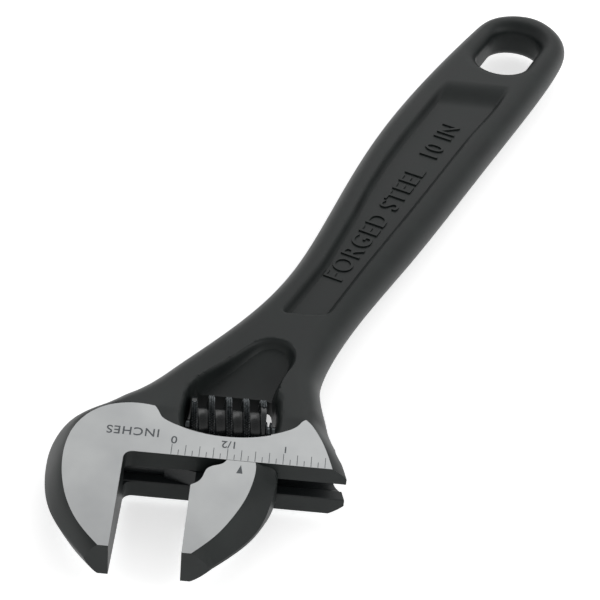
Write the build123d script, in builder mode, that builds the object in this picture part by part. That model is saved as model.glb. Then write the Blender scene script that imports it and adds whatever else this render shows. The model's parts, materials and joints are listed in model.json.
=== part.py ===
from build123d import *
import os
from math import cos, radians, sin, tan

os.makedirs("parts", exist_ok=True)

# Adjustable wrench, nominal 10 inch, in millimetres.
# Row frame: origin at the middle of the fixed jaw's face, +X along the handle towards the hang hole,
# +Y towards the fixed jaw's back, +Z out of the face that carries the scale.
# Jaw coordinates: "across" runs square to the jaw faces from the fixed jaw towards the end of the lips,
# "deep" runs along the jaw faces from their floor towards the handle, so the tips lie at minus jaw_depth.

# overall
jaw_angle = 22.5
jaw_depth = 27.2
face_middle = 12.0
opening = 15.875
handle_axis_y = -8.0
handle_end_x = 242.9

# thickness: a wedge over the head, an even slab along the handle
lip_half_thickness = 7.1
wedge_slope = 0.097
handle_half_thickness = 5.9
ground_end = 14.5
shoulder_end = 46.0
forging_draft = 28

# rail, its bore and the slot between the lips
rail_deep = 6.7
rail_radius = 4.6
rail_clearance = 0.06
rail_start = 3.0
rail_end = 34.0
bore_start = -13.6
slot_start = -7.2
slot_half_width = 2.4
neck_half_thickness = 2.25
lip_end = 50.1
floor_gap = 0.1

# worm, its pin and its spring
worm_deep = 17.2
worm_start = 13.4
worm_length = 17.7
worm_radius = 7.4
worm_core_radius = 4.9
lead = 4.05
first_ridge = 14.25
ridge_crest = 1.3
ridge_root = 2.0
worm_bore_radius = 1.7
spring_pocket_radius = 3.1
spring_pocket_depth = 4.8
pin_radius = 1.62
pin_thread_radius = 2.1
pin_start = 8.6
pin_thread_start = 36.0
pin_end = 45.0
spring_wire = 0.5
spring_radius = 2.45
spring_turns = 5
end_gap = 0.1
pin_slot_width = 0.8
pin_slot_depth = 0.9

# rack teeth on the rail
rack_depth = 1.9
rack_tip = 1.5
rack_root = 2.3

# worm window and thumb recess
window_start = 13.1
window_end = 33.0
window_near = 6.9
window_far = 26.3
recess_floor = 5.0

# recessed panel along the handle, on both faces
panel_depth = 2.3

# hang hole
hole_x = 219.6
hole_length = 26.4
hole_width = 15.4
hole_flare = 2.0

across_dir = Vector(sin(radians(jaw_angle)), -cos(radians(jaw_angle)), 0)
deep_dir = Vector(cos(radians(jaw_angle)), sin(radians(jaw_angle)), 0)
jaw_corner = deep_dir * face_middle
jaw_plane = Plane(origin=jaw_corner, x_dir=across_dir, z_dir=(0, 0, 1))
# looking along the slide: local x is deep, local y is up
slide_plane = Plane(origin=jaw_corner, x_dir=deep_dir, z_dir=(deep_dir.Y, -deep_dir.X, 0))


def jaw_point(across, deep):
    """The row-frame point at a place given in jaw coordinates."""
    place = jaw_corner + across_dir * across + deep_dir * deep
    return (place.X, place.Y)


def wedge_half(deep):
    """Half the head's thickness at a distance from the jaws' floor."""
    return lip_half_thickness + wedge_slope * deep


# half the thickness along the jaws' depth: a wedge between the ground faces, a shoulder, an even handle
half_thickness = [
    (-40, wedge_half(-40)),
    (ground_end, wedge_half(ground_end)),
    (shoulder_end, handle_half_thickness),
    (260, handle_half_thickness),
]
with BuildPart() as thickness:
    with BuildSketch(slide_plane.offset(-120)):
        with BuildLine():
            Polyline(
                *half_thickness,
                *[(deep, -half) for deep, half in reversed(half_thickness)],
                close=True,
            )
        make_face()
    extrude(amount=240)

# the forging's outline at its parting plane, from beyond the fixed jaw's tip round to beyond the lips' end
forging_edge = Spline(
    jaw_point(2, -36),
    jaw_point(-7.5, -24.6),
    jaw_point(-14.2, -14),
    jaw_point(-17.7, -1),
    jaw_point(-14.6, 12.0),
    jaw_point(-3.2, 23.3),
    jaw_point(6.2, 34.2),
    (58.95, 7.9),
    (85, 3.0),
    (118, 4.7),
    (168, 9.1),
    (226, 6.5),
    (236, 3.9),
    (handle_end_x, handle_axis_y - 0.2),
    (236, -20.3),
    (226, -22.9),
    (168, -22.5),
    (118, -21.2),
    (80, -19.8),
    (58.95, -22.4),
    jaw_point(43.5, 29),
    jaw_point(46.4, 15.5),
    jaw_point(lip_end, 2),
    jaw_point(lip_end + 2.2, -6),
)
# the movable jaw's outline, from beyond its tip round to above the lips
jaw_edge = Spline(
    jaw_point(opening + 1.5, -32),
    jaw_point(opening + 9.6, -23.7),
    jaw_point(opening + 15.3, -16),
    jaw_point(opening + 18.1, -8),
    jaw_point(opening + 19.2, 0),
    jaw_point(opening + 19.4, 5),
)


def drafted(edge, height, samples, closing):
    """Half of a drafted forging: its edge leans inwards from the parting plane up to a height."""
    with BuildPart() as half:
        for level in (0, height):
            inset = level * tan(radians(forging_draft))
            points = []
            for step in range(samples + 1):
                along = edge % (step / samples)
                points.append(edge @ (step / samples) + Vector(along.Y, -along.X, 0) * inset)
            with BuildSketch(Plane.XY.offset(level)):
                with BuildLine():
                    curve = Spline(*[(point.X, point.Y) for point in points])
                    Polyline(curve @ 1, *closing, curve @ 0)
                make_face()
        loft(ruled=True)
    return half.part


with BuildPart() as window:
    with BuildSketch(jaw_plane.offset(-14)):
        with BuildLine():
            Polyline(
                (window_start, window_near + 2),
                (window_start, window_far),
                (window_end, window_far),
                (window_end, window_near + 2),
            )
            ThreePointArc(
                (window_end, window_near + 2),
                ((window_start + window_end) / 2, window_near),
                (window_start, window_near + 2),
            )
        make_face()
    extrude(amount=28)

with BuildPart() as recess:
    with BuildSketch(jaw_plane.offset(recess_floor)):
        with BuildLine():
            Polyline(
                (14, 10),
                (14, 27),
                (20, 39),
                (32, 41),
                (35, 27),
                (31.5, 10),
                close=True,
            )
        make_face()
        fillet(vertices().sort_by(Axis((0, 0, 0), deep_dir))[2:], 4)
    extrude(amount=9, taper=-20)

with BuildPart() as panel:
    with BuildSketch(Plane.XY.offset(handle_half_thickness - panel_depth)):
        with BuildLine():
            Polyline(
                (75.6, -5.2),
                (97, -5.5),
                (121, -3.3),
                (148, -0.5),
                (189, -0.2),
                (194.5, -15.3),
                (170, -14.4),
                (127, -13.8),
                (80.5, -13.2),
                close=True,
            )
        make_face()
        fillet(vertices(), 3)
    extrude(amount=4, taper=-38)

with BuildPart() as hang_hole:
    with BuildSketch(Plane.XY.offset(-8)):
        with Locations((hole_x, handle_axis_y)):
            SlotOverall(hole_length, hole_width)
    extrude(amount=16)
    with BuildSketch(Plane.XY.offset(handle_half_thickness - hole_flare)):
        with Locations((hole_x, handle_axis_y)):
            SlotOverall(hole_length, hole_width)
    extrude(amount=hole_flare * 2, taper=-40)
    mirror(about=Plane.XY)

with BuildPart() as body:
    add(drafted(forging_edge, 12, 60, []))
    mirror(about=Plane.XY)
    add(thickness.part, mode=Mode.INTERSECT)
    # the space in front of the jaws' floor, and the flat ends of the tips
    with BuildSketch(jaw_plane.offset(-14)):
        with BuildLine():
            Polyline(
                (0, -60),
                (0, 0),
                (lip_end + 20, 0),
                (lip_end + 20, -60),
                close=True,
            )
        make_face()
        with Locations((-30, -jaw_depth - 20)):
            Rectangle(100, 40)
    extrude(amount=28, mode=Mode.SUBTRACT)
    # slot between the lips, and the rail's bore
    with BuildSketch(slide_plane.offset(slot_start)):
        with Locations((rail_deep / 2, 0)):
            Rectangle(rail_deep, 2 * slot_half_width)
    extrude(amount=lip_end + 20 - slot_start, mode=Mode.SUBTRACT)
    with BuildSketch(slide_plane.offset(bore_start)):
        with Locations((rail_deep, 0)):
            Circle(rail_radius + rail_clearance)
    extrude(amount=lip_end + 20 - bore_start, mode=Mode.SUBTRACT)
    # worm window, thumb recesses and panels on both faces, hang hole
    add(window.part, mode=Mode.SUBTRACT)
    add(recess.part, mode=Mode.SUBTRACT)
    add(mirror(recess.part, about=Plane.XY, mode=Mode.PRIVATE), mode=Mode.SUBTRACT)
    add(panel.part, mode=Mode.SUBTRACT)
    add(mirror(panel.part, about=Plane.XY, mode=Mode.PRIVATE), mode=Mode.SUBTRACT)
    add(hang_hole.part, mode=Mode.SUBTRACT)
    # bore for the worm's pin, with the thread's clearance at its head end
    with BuildSketch(slide_plane.offset(pin_start)):
        with Locations((worm_deep, 0)):
            Circle(pin_radius)
    extrude(amount=pin_thread_start - pin_start, mode=Mode.SUBTRACT)
    with BuildSketch(slide_plane.offset(pin_thread_start)):
        with Locations((worm_deep, 0)):
            Circle(pin_thread_radius)
    extrude(amount=20, mode=Mode.SUBTRACT)
body.part.label = "body"
export_step(body.part, "parts/body.step")

# ---- movable jaw: jaw, neck, rail and rack in one forging
with BuildPart() as movable_jaw:
    add(drafted(jaw_edge, 9, 24, [jaw_point(opening - 3, 5), jaw_point(opening - 3, -32)]))
    mirror(about=Plane.XY)
    add(thickness.part, mode=Mode.INTERSECT)
    # trims the jaw to its face, its tip and the lips' floor
    with BuildSketch(jaw_plane.offset(-14)):
        with Locations((opening - 20, -20)):
            Rectangle(40, 80)
        with Locations((opening + 10, -jaw_depth - 20)):
            Rectangle(60, 40)
        with Locations((opening + 10, 20 - floor_gap)):
            Rectangle(60, 40)
    extrude(amount=28, mode=Mode.SUBTRACT)
    # shoulder cut beside the neck
    with BuildSketch(jaw_plane.offset(-14)):
        with BuildLine():
            Polyline(
                (opening - 1, -7.8),
                (opening + 2.3, -6.3),
                (opening + 3.4, -3.2),
                (opening + 6.5, -1.8),
                (opening + 7.5, 1),
                (opening - 1, 1),
                close=True,
            )
        make_face()
    extrude(amount=28, mode=Mode.SUBTRACT)
    # neck in the slot
    with BuildSketch(jaw_plane.offset(-neck_half_thickness)):
        with BuildLine():
            Polyline(
                (opening + 0.5, -9),
                (opening + 12, -9),
                (opening + 18.4, -1),
                (opening + 18.4, rail_deep),
                (opening - 6.8, rail_deep),
                (opening - 6.8, floor_gap),
                (opening + 0.5, floor_gap),
                close=True,
            )
        make_face()
    extrude(amount=2 * neck_half_thickness)
    # rail
    with BuildSketch(slide_plane.offset(rail_start)):
        with Locations((rail_deep, 0)):
            Circle(rail_radius)
    extrude(amount=rail_end - rail_start)
    # rack: trapezoid gaps cut across the side of the rail that faces the worm
    rail_top = rail_deep + rail_radius
    rack_first_gap = first_ridge + lead / 4 - 3 * lead
    gap_count = int((rail_end - rack_first_gap) / lead) + 1
    with BuildSketch(jaw_plane.offset(-8)):
        with Locations([(rack_first_gap + lead * gap, rail_top + 1) for gap in range(gap_count)]):
            Polygon(
                (-(lead - rack_root) / 2, -rack_depth - 1),
                ((lead - rack_root) / 2, -rack_depth - 1),
                ((lead - rack_tip) / 2, 0),
                (-(lead - rack_tip) / 2, 0),
                align=None,
            )
    extrude(amount=16, mode=Mode.SUBTRACT)
movable_jaw.part.label = "movable_jaw"
export_step(movable_jaw.part, "parts/movable_jaw.step")

# ---- worm: a thread round a core, bored for its pin, with a pocket for the spring
worm_plane = Plane(
    origin=jaw_corner + deep_dir * worm_deep + across_dir * worm_start,
    x_dir=deep_dir,
    z_dir=across_dir,
)
ridge_height = worm_radius - worm_core_radius
# the spiral starts a turn before the worm's end, on its far side from the rail
spiral_start = first_ridge - worm_start - 1.25 * lead
spiral = worm_plane.offset(spiral_start) * Helix(
    pitch=lead,
    height=worm_length - 2 * spiral_start,
    radius=worm_core_radius,
)
with BuildPart() as thread:
    with BuildSketch(Plane(origin=spiral @ 0, x_dir=deep_dir, z_dir=spiral % 0)):
        with BuildLine():
            Polyline(
                (-0.4, -ridge_root / 2),
                (ridge_height, -ridge_crest / 2),
                (ridge_height, ridge_crest / 2),
                (-0.4, ridge_root / 2),
                close=True,
            )
        make_face()
    sweep(path=spiral, is_frenet=True)
    # cut off at the worm's two ends
    with BuildSketch(worm_plane):
        Circle(worm_radius + 1)
    extrude(amount=worm_length, mode=Mode.INTERSECT)

with BuildPart() as worm:
    with BuildSketch(worm_plane):
        Circle(worm_core_radius)
    extrude(amount=worm_length)
    add(thread.part)
    with BuildSketch(worm_plane):
        Circle(worm_bore_radius)
    extrude(amount=worm_length, mode=Mode.SUBTRACT)
    with BuildSketch(worm_plane.offset(worm_length - spring_pocket_depth)):
        Circle(spring_pocket_radius)
    extrude(amount=spring_pocket_depth, mode=Mode.SUBTRACT)
worm.part.label = "worm"
export_step(worm.part, "parts/worm.step")

# ---- worm pin: a smooth shank and a slotted screw end, put in from the lips' side
pin_plane = worm_plane.offset(pin_start - worm_start)
with BuildPart() as worm_pin:
    with BuildSketch(pin_plane):
        Circle(pin_radius)
    extrude(amount=pin_end - pin_start)
    with BuildSketch(worm_plane.offset(pin_thread_start - worm_start)):
        Circle(pin_thread_radius)
    extrude(amount=pin_end - pin_thread_start)
    with BuildSketch(worm_plane.offset(pin_end - pin_slot_depth - worm_start)):
        Rectangle(pin_slot_width, 4 * pin_thread_radius)
    extrude(amount=pin_slot_depth, mode=Mode.SUBTRACT)
worm_pin.part.label = "worm_pin"
export_step(worm_pin.part, "parts/worm_pin.step")

# ---- worm spring: a coil round the pin, from the pocket's floor to the window's wall
spring_start = worm_length - spring_pocket_depth + spring_wire / 2 + end_gap
spring_length = window_end - worm_start - spring_wire / 2 - end_gap - spring_start
coil = worm_plane.offset(spring_start) * Helix(
    pitch=spring_length / spring_turns,
    height=spring_length,
    radius=spring_radius,
)
with BuildPart() as worm_spring:
    with BuildSketch(Plane(origin=coil @ 0, x_dir=deep_dir, z_dir=coil % 0)):
        Circle(spring_wire / 2)
    sweep(path=coil, is_frenet=True)
worm_spring.part.label = "worm_spring"
export_step(worm_spring.part, "parts/worm_spring.step")
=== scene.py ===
import json
import math

import bmesh
import bpy
import numpy as np
from mathutils import Matrix, Vector
from mathutils.geometry import delaunay_2d_cdt


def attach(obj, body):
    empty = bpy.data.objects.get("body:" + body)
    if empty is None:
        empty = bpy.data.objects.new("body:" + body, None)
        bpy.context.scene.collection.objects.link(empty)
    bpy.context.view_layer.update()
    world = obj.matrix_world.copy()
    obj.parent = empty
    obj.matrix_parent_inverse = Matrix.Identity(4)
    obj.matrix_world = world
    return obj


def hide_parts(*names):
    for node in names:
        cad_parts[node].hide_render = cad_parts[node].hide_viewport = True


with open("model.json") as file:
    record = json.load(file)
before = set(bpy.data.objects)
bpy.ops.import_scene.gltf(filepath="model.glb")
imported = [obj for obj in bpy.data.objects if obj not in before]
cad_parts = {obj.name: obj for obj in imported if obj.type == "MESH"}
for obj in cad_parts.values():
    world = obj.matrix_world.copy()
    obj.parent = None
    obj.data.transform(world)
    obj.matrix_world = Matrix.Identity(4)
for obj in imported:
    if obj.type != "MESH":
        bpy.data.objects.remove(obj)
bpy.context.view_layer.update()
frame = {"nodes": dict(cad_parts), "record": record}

mm = 0.001
print("frame loaded:", ", ".join(sorted(frame["nodes"])))

# Jaw coordinates, in mm: "across" runs along the jaw's slide, from the fixed jaw's face to the end of the
# lips, and "deep" runs from the jaws' floor towards the handle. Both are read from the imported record.
slide = next(joint for joint in frame["record"]["behaviour"]["joints"] if joint["name"] == "jaw_slide")
across = np.array(slide["axis"][:2])
deep = np.array([-across[1], across[0]])
jawLayout = {
    "faceMiddle": 12.0,  # the frame's origin to the jaws' floor
    "opening": 15.875,
    "depth": 27.2,
    "lipHalf": 7.1,  # half the thickness at the jaws' floor
    "wedgeSlope": 0.097,
    "groundEnd": 14.5,
    "floorGap": 0.1,
}
corner = deep * jawLayout["faceMiddle"]


def jawPoint(a, b):
    return tuple(corner + across * a + deep * b)


def toJaw(points):  # plan points to (across, deep)
    return points @ across, points @ deep - jawLayout["faceMiddle"]


def wedgeTop(b):  # height of the ground face over the parting plane
    return jawLayout["lipHalf"] + jawLayout["wedgeSlope"] * b


# camera
cameraView = {
    "aim": (87.3, -3.2, 0.0),  # mm, the point of the parting plane that the camera looks at
    "distance": 507.7,
    "elevation": 39.44,
    "roll": 5.3,
    "lens": 120.0,
    "sensor": 36.0,
}


def makeCamera(view):
    rise = math.radians(view["elevation"])
    roll = math.radians(view["roll"])
    side = Vector((across[0], across[1], 0))
    away = Vector((deep[0], deep[1], 0))
    forward = away * math.cos(rise) - Vector((0, 0, 1)) * math.sin(rise)
    upright = away * math.sin(rise) + Vector((0, 0, 1)) * math.cos(rise)
    right = side * math.cos(roll) + upright * math.sin(roll)
    up = upright * math.cos(roll) - side * math.sin(roll)
    place = (Vector(view["aim"]) - forward * view["distance"]) * mm
    data = bpy.data.cameras.new("benchCamera")
    data.lens = view["lens"]
    data.sensor_width = view["sensor"]
    data.clip_start = 0.01
    camera = bpy.data.objects.new("benchCamera", data)
    turn = Matrix((right, up, -forward)).transposed().to_4x4()
    camera.matrix_world = Matrix.Translation(place) @ turn
    bpy.context.scene.collection.objects.link(camera)
    bpy.context.scene.camera = camera


makeCamera(cameraView)
print("camera placed")


# materials
def linear(hexColour):
    channels = [int(hexColour[i:i + 2], 16) / 255 for i in (1, 3, 5)]
    return [c / 12.92 if c <= 0.04045 else ((c + 0.055) / 1.055) ** 2.4 for c in channels] + [1.0]


def addNode(tree, kind, settings=None, links=None):
    node = tree.nodes.new(kind)
    for name, value in (settings or {}).items():
        if isinstance(name, int) or name in node.inputs:
            node.inputs[name].default_value = value
        else:
            setattr(node, name, value)
    for name, source in (links or {}).items():
        tree.links.new(source, node.inputs[name])
    return node


def newMaterial(name):
    material = bpy.data.materials.new(name)
    material.use_nodes = True
    material.node_tree.nodes.clear()
    return material, material.node_tree


def finishMaterial(tree, shader):
    addNode(tree, "ShaderNodeOutputMaterial", links={"Surface": shader.outputs["BSDF"]})


def rampNode(tree, source, stops):
    ramp = addNode(tree, "ShaderNodeValToRGB", links={"Fac": source})
    ramp.color_ramp.elements[0].position = stops[0][0]
    ramp.color_ramp.elements[0].color = stops[0][1]
    ramp.color_ramp.elements[1].position = stops[-1][0]
    ramp.color_ramp.elements[1].color = stops[-1][1]
    for position, colour in stops[1:-1]:
        ramp.color_ramp.elements.new(position).color = colour
    return ramp


# Drop-forged steel, shot-blasted and manganese-phosphated black: a soft, slightly greenish dark grey with
# a fine grain from the blasting and a faint cloudiness from the bath.
def phosphatedForging():
    look = {"dark": "#131717", "light": "#1D2221", "roughness": 0.44, "grainMm": 0.35, "cloudMm": 9.0}
    material, tree = newMaterial("phosphatedForging")
    place = addNode(tree, "ShaderNodeTexCoord").outputs["Object"]
    cloud = addNode(tree, "ShaderNodeTexNoise", {"Scale": 1 / (look["cloudMm"] * mm), "Detail": 4.0}, {"Vector": place})
    grain = addNode(tree, "ShaderNodeTexNoise", {"Scale": 1 / (look["grainMm"] * mm), "Detail": 3.0}, {"Vector": place})
    colour = rampNode(tree, cloud.outputs["Fac"], [(0.3, linear(look["dark"])), (0.7, linear(look["light"]))])
    gloss = addNode(tree, "ShaderNodeMapRange",
                    {"To Min": look["roughness"] - 0.06, "To Max": look["roughness"] + 0.08},
                    {"Value": cloud.outputs["Fac"]})
    bump = addNode(tree, "ShaderNodeBump", {"Strength": 0.16, "Distance": 0.06 * mm}, {"Height": grain.outputs["Fac"]})
    shader = addNode(tree, "ShaderNodeBsdfPrincipled", {"Specular IOR Level": 0.25, "IOR": 1.5},
                     {"Base Color": colour.outputs["Color"], "Roughness": gloss.outputs["Result"],
                      "Normal": bump.outputs["Normal"]})
    finishMaterial(tree, shader)
    return material


# Bare forging steel, belt-ground on the wide faces and left satin: bright grey with a fine even grain.
def groundSteel():
    look = {"dark": "#B9BBBC", "light": "#C9CBCB", "roughness": 0.40, "grainMm": 0.25, "cloudMm": 14.0}
    material, tree = newMaterial("groundSteel")
    place = addNode(tree, "ShaderNodeTexCoord").outputs["Object"]
    cloud = addNode(tree, "ShaderNodeTexNoise", {"Scale": 1 / (look["cloudMm"] * mm), "Detail": 3.0}, {"Vector": place})
    grain = addNode(tree, "ShaderNodeTexNoise", {"Scale": 1 / (look["grainMm"] * mm), "Detail": 2.0}, {"Vector": place})
    colour = rampNode(tree, cloud.outputs["Fac"], [(0.3, linear(look["dark"])), (0.7, linear(look["light"]))])
    gloss = addNode(tree, "ShaderNodeMapRange",
                    {"To Min": look["roughness"] - 0.05, "To Max": look["roughness"] + 0.05},
                    {"Value": grain.outputs["Fac"]})
    bump = addNode(tree, "ShaderNodeBump", {"Strength": 0.10, "Distance": 0.02 * mm}, {"Height": grain.outputs["Fac"]})
    shader = addNode(tree, "ShaderNodeBsdfPrincipled", {"Metallic": 1.0},
                     {"Base Color": colour.outputs["Color"], "Roughness": gloss.outputs["Result"],
                      "Normal": bump.outputs["Normal"]})
    finishMaterial(tree, shader)
    return material


# Machined surfaces inside the slot and bore, blackened with the forging: darker and a little smoother.
def blackenedMachined():
    look = {"dark": "#141718", "light": "#1E2223", "roughness": 0.42, "cutMm": 0.4}
    material, tree = newMaterial("blackenedMachined")
    place = addNode(tree, "ShaderNodeTexCoord").outputs["Object"]
    cut = addNode(tree, "ShaderNodeTexNoise", {"Scale": 1 / (look["cutMm"] * mm), "Detail": 2.0}, {"Vector": place})
    colour = rampNode(tree, cut.outputs["Fac"], [(0.3, linear(look["dark"])), (0.7, linear(look["light"]))])
    shader = addNode(tree, "ShaderNodeBsdfPrincipled", {"Roughness": look["roughness"], "Specular IOR Level": 0.4},
                     {"Base Color": colour.outputs["Color"]})
    finishMaterial(tree, shader)
    return material


# Hardened steel, turned and dipped in black oxide: near black and glossier than the forging.
def oxideSteel():
    look = {"dark": "#141718", "light": "#222627", "roughness": 0.22, "toolMarkMm": 0.5}
    material, tree = newMaterial("oxideSteel")
    place = addNode(tree, "ShaderNodeTexCoord").outputs["Object"]
    mark = addNode(tree, "ShaderNodeTexNoise",
                   {"Scale": 1 / (look["toolMarkMm"] * mm), "Detail": 2.0}, {"Vector": place})
    colour = rampNode(tree, mark.outputs["Fac"], [(0.3, linear(look["dark"])), (0.7, linear(look["light"]))])
    bump = addNode(tree, "ShaderNodeBump", {"Strength": 0.1, "Distance": 0.03 * mm}, {"Height": mark.outputs["Fac"]})
    shader = addNode(tree, "ShaderNodeBsdfPrincipled", {"Roughness": look["roughness"], "Specular IOR Level": 0.5},
                     {"Base Color": colour.outputs["Color"], "Normal": bump.outputs["Normal"]})
    finishMaterial(tree, shader)
    return material


# The knurl's points, rolled into the same oxide finish and scuffed by thumbs: a lighter, drier grey.
def scuffedKnurl():
    look = {"dark": "#3E4244", "light": "#7C8082", "roughness": 0.38, "scuffMm": 0.6}
    material, tree = newMaterial("scuffedKnurl")
    place = addNode(tree, "ShaderNodeTexCoord").outputs["Object"]
    scuff = addNode(tree, "ShaderNodeTexNoise", {"Scale": 1 / (look["scuffMm"] * mm), "Detail": 2.0}, {"Vector": place})
    colour = rampNode(tree, scuff.outputs["Fac"], [(0.3, linear(look["dark"])), (0.7, linear(look["light"]))])
    shader = addNode(tree, "ShaderNodeBsdfPrincipled", {"Metallic": 1.0, "Roughness": look["roughness"]},
                     {"Base Color": colour.outputs["Color"]})
    finishMaterial(tree, shader)
    return material


# Drawn spring wire and turned pin steel, oil-tempered: dark plain metal with faint lines.
def temperedSteel():
    look = {"dark": "#4A4E50", "light": "#6E7375", "roughness": 0.3, "drawMm": 0.3}
    material, tree = newMaterial("temperedSteel")
    place = addNode(tree, "ShaderNodeTexCoord").outputs["Object"]
    draw = addNode(tree, "ShaderNodeTexNoise", {"Scale": 1 / (look["drawMm"] * mm), "Detail": 2.0}, {"Vector": place})
    colour = rampNode(tree, draw.outputs["Fac"], [(0.3, linear(look["dark"])), (0.7, linear(look["light"]))])
    shader = addNode(tree, "ShaderNodeBsdfPrincipled", {"Metallic": 1.0, "Roughness": look["roughness"]},
                     {"Base Color": colour.outputs["Color"]})
    finishMaterial(tree, shader)
    return material


# Acid-etched marking on the ground face: a flat dark grey stain, a little uneven.
def etchedMark():
    look = {"dark": "#4A4D50", "light": "#63676A", "roughness": 0.6, "stainMm": 0.3}
    material, tree = newMaterial("etchedMark")
    place = addNode(tree, "ShaderNodeTexCoord").outputs["Object"]
    stain = addNode(tree, "ShaderNodeTexNoise", {"Scale": 1 / (look["stainMm"] * mm), "Detail": 2.0}, {"Vector": place})
    colour = rampNode(tree, stain.outputs["Fac"], [(0.35, linear(look["dark"])), (0.65, linear(look["light"]))])
    shader = addNode(tree, "ShaderNodeBsdfPrincipled", {"Roughness": look["roughness"], "Specular IOR Level": 0.3},
                     {"Base Color": colour.outputs["Color"]})
    finishMaterial(tree, shader)
    return material


forging = phosphatedForging()
ground = groundSteel()
machined = blackenedMachined()
oxide = oxideSteel()
tempered = temperedSteel()
etched = etchedMark()
scuffed = scuffedKnurl()
print("materials made")


# plan geometry, in mm
def resample(path, spacing):
    steps = np.hypot(*np.diff(path, axis=0).T)
    length = np.concatenate([[0], np.cumsum(steps)])
    count = max(2, int(round(length[-1] / spacing)) + 1)
    at = np.linspace(0, length[-1], count)
    return np.stack([np.interp(at, length, path[:, 0]), np.interp(at, length, path[:, 1])], 1)


def smoothCurve(points, spacing):  # a natural cubic spline through the points
    points = np.array(points, float)
    knots = np.concatenate([[0], np.cumsum(np.hypot(*np.diff(points, axis=0).T) ** 0.75)])
    gaps = np.diff(knots)
    count = len(points)
    system = np.eye(count)
    right = np.zeros((count, 2))
    for i in range(1, count - 1):
        system[i, i - 1:i + 2] = gaps[i - 1], 2 * (gaps[i - 1] + gaps[i]), gaps[i]
        right[i] = 6 * ((points[i + 1] - points[i]) / gaps[i] - (points[i] - points[i - 1]) / gaps[i - 1])
    bend = np.linalg.solve(system, right)
    at = np.linspace(0, knots[-1], 40 * count)
    i = np.clip(np.searchsorted(knots, at, side="right") - 1, 0, count - 2)
    h = gaps[i][:, None]
    left = (knots[i + 1] - at)[:, None]
    done = (at - knots[i])[:, None]
    curve = (bend[i] * left ** 3 + bend[i + 1] * done ** 3) / (6 * h)
    curve += (points[i] / h - bend[i] * h / 6) * left + (points[i + 1] / h - bend[i + 1] * h / 6) * done
    return resample(curve, spacing)


def arcThrough(start, middle, end, count):
    start, middle, end = (np.array(p, float) for p in (start, middle, end))
    system = np.array([middle - start, end - start]) * 2
    centre = np.linalg.solve(system, [middle @ middle - start @ start, end @ end - start @ start])
    radius = np.hypot(*(start - centre))
    angles = np.unwrap([math.atan2(*(p - centre)[::-1]) for p in (start, middle, end)])
    turns = np.linspace(angles[0], angles[2], count)
    return centre + radius * np.stack([np.cos(turns), np.sin(turns)], 1)


def straight(start, end, spacing):
    return resample(np.array([start, end], float), spacing)


def joinPaths(*paths):
    points = [paths[0]]
    for path in paths[1:]:
        points.append(path[1:] if np.hypot(*(path[0] - points[-1][-1])) < 1e-6 else path)
    loop = np.concatenate(points)
    return loop[:-1] if np.hypot(*(loop[0] - loop[-1])) < 1e-6 else loop


def distanceTo(points, path, closed=False):
    ends = np.roll(path, -1, axis=0) if closed else path[1:]
    starts = path if closed else path[:-1]
    best = np.full(len(points), 1e9)
    span = ends - starts
    size = np.maximum((span ** 2).sum(1), 1e-12)
    for first in range(0, len(points), 4000):
        block = points[first:first + 4000]
        offset = block[:, None] - starts[None]
        share = np.clip((offset * span[None]).sum(2) / size, 0, 1)
        gap = offset - share[..., None] * span[None]
        best[first:first + 4000] = np.sqrt((gap ** 2).sum(2).min(1))
    return best


def insideLoop(points, loop):
    x, y = points.T
    inside = np.zeros(len(points), bool)
    for (x0, y0), (x1, y1) in zip(loop, np.roll(loop, -1, axis=0)):
        if y0 != y1:
            inside ^= ((y0 > y) != (y1 > y)) & (x < (x1 - x0) * (y - y0) / (y1 - y0) + x0)
    return inside


def easeStep(value):
    value = np.clip(value, 0, 1)
    return value * value * (3 - 2 * value)


def steppedInwards(path, distances, closed=False):  # copies of a path moved to its right-hand side
    along = np.roll(path, -1, axis=0) - np.roll(path, 1, axis=0) if closed else np.gradient(path, axis=0)
    along /= np.hypot(*along.T)[:, None]
    sideways = np.stack([along[:, 1], -along[:, 0]], 1)
    return [path + sideways * distance for distance in distances]


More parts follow.
